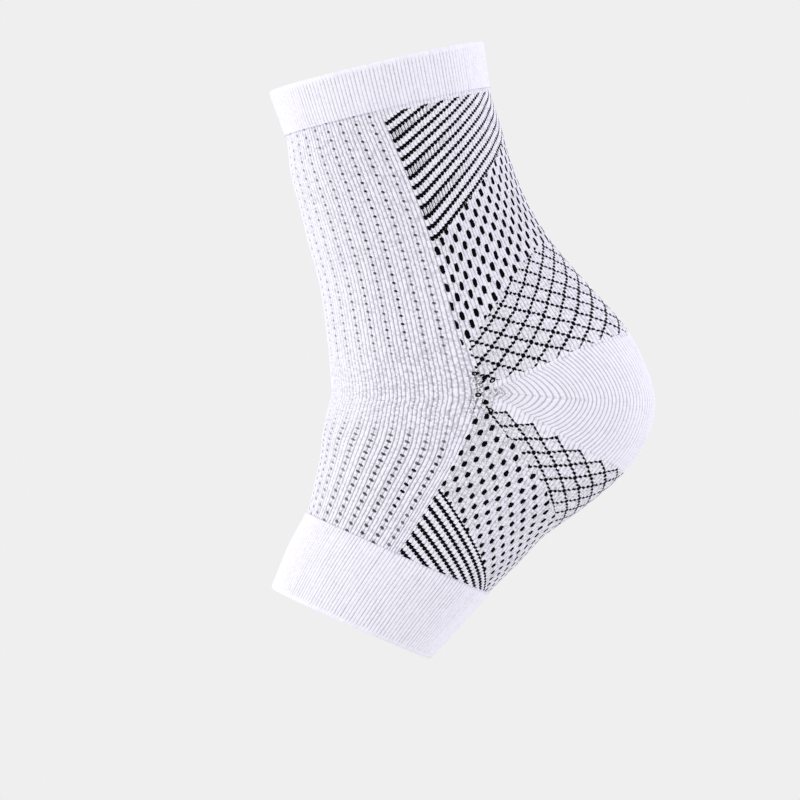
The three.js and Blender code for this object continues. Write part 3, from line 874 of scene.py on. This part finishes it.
def front_finish(colours):
    """Speckled knit with a row of small marks in every fourth wale.

    Its border wales carry on the yarn of the back and the sole.
    """
    knit = Knit("Speckled knit", colours)
    smooth = knit.shader.smooth
    column, body = knit.stitch(knit.wale)
    out = 0 - knit.wale
    line = (out - FIRST_LANE) / LANE
    beside = (line.fract() - 0.5) * LANE
    in_lanes = out > FIRST_LANE
    lower = smooth(knit.course, 145.0, 160.0)
    ankle = smooth(abs(knit.course - 130), 12.0, 32.0)
    near = smooth(out, 44.0, 8.0) * 0.5 + 0.5

    # The small marks, faint round the ankle bend and towards the shin
    odd = (line / 2).fract() > 0.5
    fall = ((knit.course / MARK_PITCH + odd * 0.5 + beside * 0.12).fract() - 0.5) * MARK_PITCH
    half_width = 0.40 + lower * 0.20
    dots = blob(beside / half_width, fall / (0.56 + lower * 0.12), knit.grain * 1.6) * in_lanes
    patchy = knit.chance(line.floor(), (knit.course / 24).floor()) * 0.25 + 0.75
    speckle = dots * patchy * near * (ankle * 0.75 + 0.25)

    # Grey between the marks, beside their lanes below the ankle, and in single stitches at it
    check = ((knit.course / (MARK_PITCH / 2)).fract() < 0.5) * (abs(beside) < 0.8) * in_lanes
    flank = (abs(abs(beside) - 1) < 0.2) * in_lanes * lower * 0.35
    fleck = (knit.chance((knit.wale * 2).floor(), knit.course.floor()) > 0.6) * (1 - ankle) * 0.14
    grey = (check * 0.16 * ankle).larger(flank * near).larger(fleck * near)

    # The neighbours' patterns end on the first wales, and specks lie round the heel cup's tip
    upper = upper_pattern(knit, knit.wale, knit.course)[0]
    upper = upper * (out < (1.9 - smooth(knit.course, 100.0, 133.0) * 1.6)) * (knit.course < 133)
    under = sole_pattern(knit, knit.wale, knit.course - LEG_COURSES)[0] * (out < 0.6) * (knit.course > 137)
    flecked = smooth(out, 3.5, 0.5) * smooth(abs(knit.course - LEG_COURSES), 14.0, 7.0)
    tip = tip_knots(knit.wale, knit.course) * (out < 2)
    tip = tip.larger(flecked * (knit.grain > 0.04) * 0.75)
    dark = speckle.larger(upper).larger(under).larger(tip)

    ribbed = 0.65 + smooth(out, 34.0, 14.0) * 0.35
    return knit.finish(1 - (1 - column) * ribbed, body, dark, grey, contrast=1.3, speck=near - 0.2)


def heel_finish(colours):
    """Plain knit whose wales bend to the gore line, which shows as a chain of small marks."""
    knit = Knit("Plain knit", colours)
    column, body = knit.stitch(knit.wale)
    chain = (abs(knit.course - HEEL_COURSES / 2) < 0.9) * (knit.wale.fract() < 0.5) * (knit.wale < 17)
    contrast = 0.9 - knit.shader.smooth(knit.wale, 22.0, 38.0) * 0.4
    specks = (knit.grain > 0.05) * knit.shader.smooth(knit.wale, 5.0, 1.0) * 0.6
    return knit.finish(column, body, specks, chain * 0.25, contrast=contrast, speck=0.2)


def counts_behind(rows):
    """Stitch counts of a piece behind: wales from its borders, courses from its upper edge."""
    def courses(girth, down, along):
        return WALES * (1 - np.abs(girth - 2)), rows * down

    return courses


def even_relief(depth):
    """Stitch columns of one depth."""
    def relief(wales, rows_down):
        return depth * (rounded_rib(wales) - 1)

    return relief


class SLEEVE_OT_cuffs(Operator):
    """Makes the two ribbed cuffs"""

    bl_idname = "sleeve.cuffs"
    bl_label = "Ribbed cuffs"

    def execute(self, context):
        sizes = context.scene.sleeve_sizes
        material = cuff_finish(context.scene.sleeve_colours)
        edges = Edges(sizes)
        make_cuff("leg_cuff_knit", "leg_cuff", material, sizes, 0.0, edges.leg_seam,
                  LEG_CUFF_COURSES)
        make_cuff("foot_cuff_knit", "foot_cuff", material, sizes, 2.0, edges.foot_seam,
                  FOOT_CUFF_COURSES)
        return {"FINISHED"}


class SLEEVE_OT_front(Operator):
    """Makes the speckled front panel, from the leg cuff over the instep to the foot cuff"""

    bl_idname = "sleeve.front"
    bl_label = "Front panel"

    def execute(self, context):
        sizes = context.scene.sleeve_sizes
        edges = Edges(sizes)
        depth = sizes.stitch_depth

        def courses(girth, down, along):
            leg = (along - edges.leg_seam) / (1 - edges.leg_seam) * LEG_COURSES
            foot = LEG_COURSES + (along - 1) / (edges.foot_seam - 1) * FOOT_COURSES
            return -WALES * (1 - np.abs(girth)), np.where(along < 1, leg, foot)

        def relief(wales, rows_down):
            groove = np.clip(1 - np.abs(np.mod(-wales - FIRST_LANE, LANE) - LANE / 2), 0, 1)
            groove = groove * (wales < -FIRST_LANE)
            return depth * (rounded_rib(wales) - 1) - 0.5 * depth * groove

        def bend(wales, down, along):
            round_ankle = np.interp(along, *ANKLE_BEND)
            over_instep = np.interp(along, *INSTEP_BEND)
            return (round_ankle * np.interp(wales, *ANKLE_SHARE)
                    + over_instep * np.interp(wales, *INSTEP_SHARE))

        make_panel("front_knit", "front_panel", front_finish(context.scene.sleeve_colours),
                   sizes, (-1, 1), (edges.at_leg_seam, edges.at_foot_seam), courses, relief,
                   2 * WALES * sizes.stitch_steps, FRONT_ROWS, bend)
        return {"FINISHED"}


class SLEEVE_OT_back(Operator):
    """Makes the patterned back panel, from the leg cuff to the heel cup"""

    bl_idname = "sleeve.back"
    bl_label = "Back panel"

    def execute(self, context):
        sizes = context.scene.sleeve_sizes
        edges = Edges(sizes)

        make_panel("back_knit", "back_panel", back_finish(context.scene.sleeve_colours),
                   sizes, (1, 3), (edges.at_leg_seam, edges.heel_top), counts_behind(LEG_COURSES),
                   even_relief(sizes.stitch_depth), 2 * WALES * sizes.stitch_steps, BACK_ROWS)
        return {"FINISHED"}


class SLEEVE_OT_sole(Operator):
    """Makes the patterned sole panel, from the heel cup to the foot cuff"""

    bl_idname = "sleeve.sole"
    bl_label = "Sole panel"

    def execute(self, context):
        sizes = context.scene.sleeve_sizes
        edges = Edges(sizes)

        make_panel("sole_knit", "sole_panel", sole_finish(context.scene.sleeve_colours),
                   sizes, (1, 3), (edges.heel_bottom, edges.at_foot_seam), counts_behind(FOOT_COURSES),
                   even_relief(sizes.stitch_depth), 2 * WALES * sizes.stitch_steps, SOLE_ROWS)
        return {"FINISHED"}


class SLEEVE_OT_heel(Operator):
    """Makes the plain heel cup between the back and the sole"""

    bl_idname = "sleeve.heel"
    bl_label = "Heel cup"

    def execute(self, context):
        sizes = context.scene.sleeve_sizes
        edges = Edges(sizes)

        def bend(wales, down, along):
            away = np.abs(2 * down - 1)
            roundness = np.interp(wales, *HEEL_ROUNDNESS)
            return np.interp(wales, *HEEL_BEND) * (1 - away**roundness)

        make_panel("heel_knit", "heel_cup", heel_finish(context.scene.sleeve_colours),
                   sizes, (1, 3), (edges.heel_top, edges.heel_bottom), counts_behind(HEEL_COURSES),
                   even_relief(HEEL_RELIEF * sizes.stitch_depth), 2 * WALES * sizes.stitch_steps,
                   HEEL_ROWS, bend)
        return {"FINISHED"}


class SLEEVE_OT_stage(Operator):
    """Makes the pale floor, the room, the soft lights and the camera"""

    bl_idname = "sleeve.stage"
    bl_label = "Stage"

    def execute(self, context):
        scene = context.scene
        backdrop = linear(scene.sleeve_colours.backdrop)
        scene.view_settings.view_transform = "Standard"
        aim = Vector(AIM)
        bm = bmesh.new()
        bmesh.ops.create_grid(bm, x_segments=1, y_segments=1, size=FLOOR_HALF_SIZE,
                              matrix=Matrix.Translation((0, 0, FOOT_CUFF_LOW.z - FLOOR_DROP)))
        mesh = bpy.data.meshes.new("pale_floor")
        bm.to_mesh(mesh)
        bm.free()
        floor = bpy.data.objects.new("pale_floor", mesh)
        scene.collection.objects.link(floor)
        shader = Shader("Pale floor")
        shader.surface.inputs["Base Color"].default_value = (0, 0, 0, 1)
        shader.surface.inputs["Roughness"].default_value = 1.0
        shader.surface.inputs["Specular IOR Level"].default_value = 0.0
        shader.surface.inputs["Emission Color"].default_value = backdrop
        shader.surface.inputs["Emission Strength"].default_value = 1.0
        mesh.materials.append(shader.material)

        world = bpy.data.worlds.new("Pale room")
        world.use_nodes = True
        world.node_tree.nodes["Background"].inputs["Color"].default_value = backdrop
        scene.world = world

        for name, place, size, power, colour in LIGHTS:
            lamp = bpy.data.lights.new(name, "AREA")
            lamp.size = size
            lamp.energy = power
            lamp.color = colour
            light = bpy.data.objects.new(name, lamp)
            light.location = place
            light.rotation_euler = (Vector(place) - aim).to_track_quat("Z", "Y").to_euler()
            scene.collection.objects.link(light)

        lens = bpy.data.cameras.new("Photo angle")
        lens.sensor_width = SENSOR_WIDTH
        lens.lens = FOCAL_LENGTH
        lens.clip_end = FAR_CLIP
        camera = bpy.data.objects.new("Photo angle", lens)
        turn = Matrix.Rotation(math.pi / 2, 4, "X") @ Matrix.Rotation(-CAMERA_ROLL, 4, "Z")
        camera.matrix_world = Matrix.Translation(aim + Vector((0, -CAMERA_DISTANCE, 0))) @ turn
        scene.collection.objects.link(camera)
        scene.camera = camera
        return {"FINISHED"}


class SLEEVE_PT_sleeve(Panel):
    """Lists the sizes, the colours and the pieces of the sleeve"""

    bl_idname = "SLEEVE_PT_sleeve"
    bl_label = "Ankle sleeve"
    bl_space_type = "VIEW_3D"
    bl_region_type = "UI"
    bl_category = "Ankle Sleeve"

    def draw(self, context):
        layout = self.layout
        for group in (context.scene.sleeve_sizes, context.scene.sleeve_colours):
            box = layout.box()
            for name in group.__annotations__:
                box.prop(group, name)
        for operator in OPERATORS:
            layout.operator(operator.bl_idname)


OPERATORS = (SLEEVE_OT_cuffs, SLEEVE_OT_front, SLEEVE_OT_back,
             SLEEVE_OT_sole, SLEEVE_OT_heel, SLEEVE_OT_stage)
CLASSES = (SleeveSizes, SleeveColours, *OPERATORS, SLEEVE_PT_sleeve)


def register():
    for cls in CLASSES:
        bpy.utils.register_class(cls)
    bpy.types.Scene.sleeve_sizes = PointerProperty(type=SleeveSizes)
    bpy.types.Scene.sleeve_colours = PointerProperty(type=SleeveColours)


def unregister():
    del bpy.types.Scene.sleeve_colours
    del bpy.types.Scene.sleeve_sizes
    for cls in reversed(CLASSES):
        bpy.utils.unregister_class(cls)


def main():
    register()
    bpy.ops.sleeve.cuffs()
    bpy.ops.sleeve.front()
    bpy.ops.sleeve.back()
    bpy.ops.sleeve.sole()
    bpy.ops.sleeve.heel()
    bpy.ops.sleeve.stage()


if __name__ == "__main__":
    main()
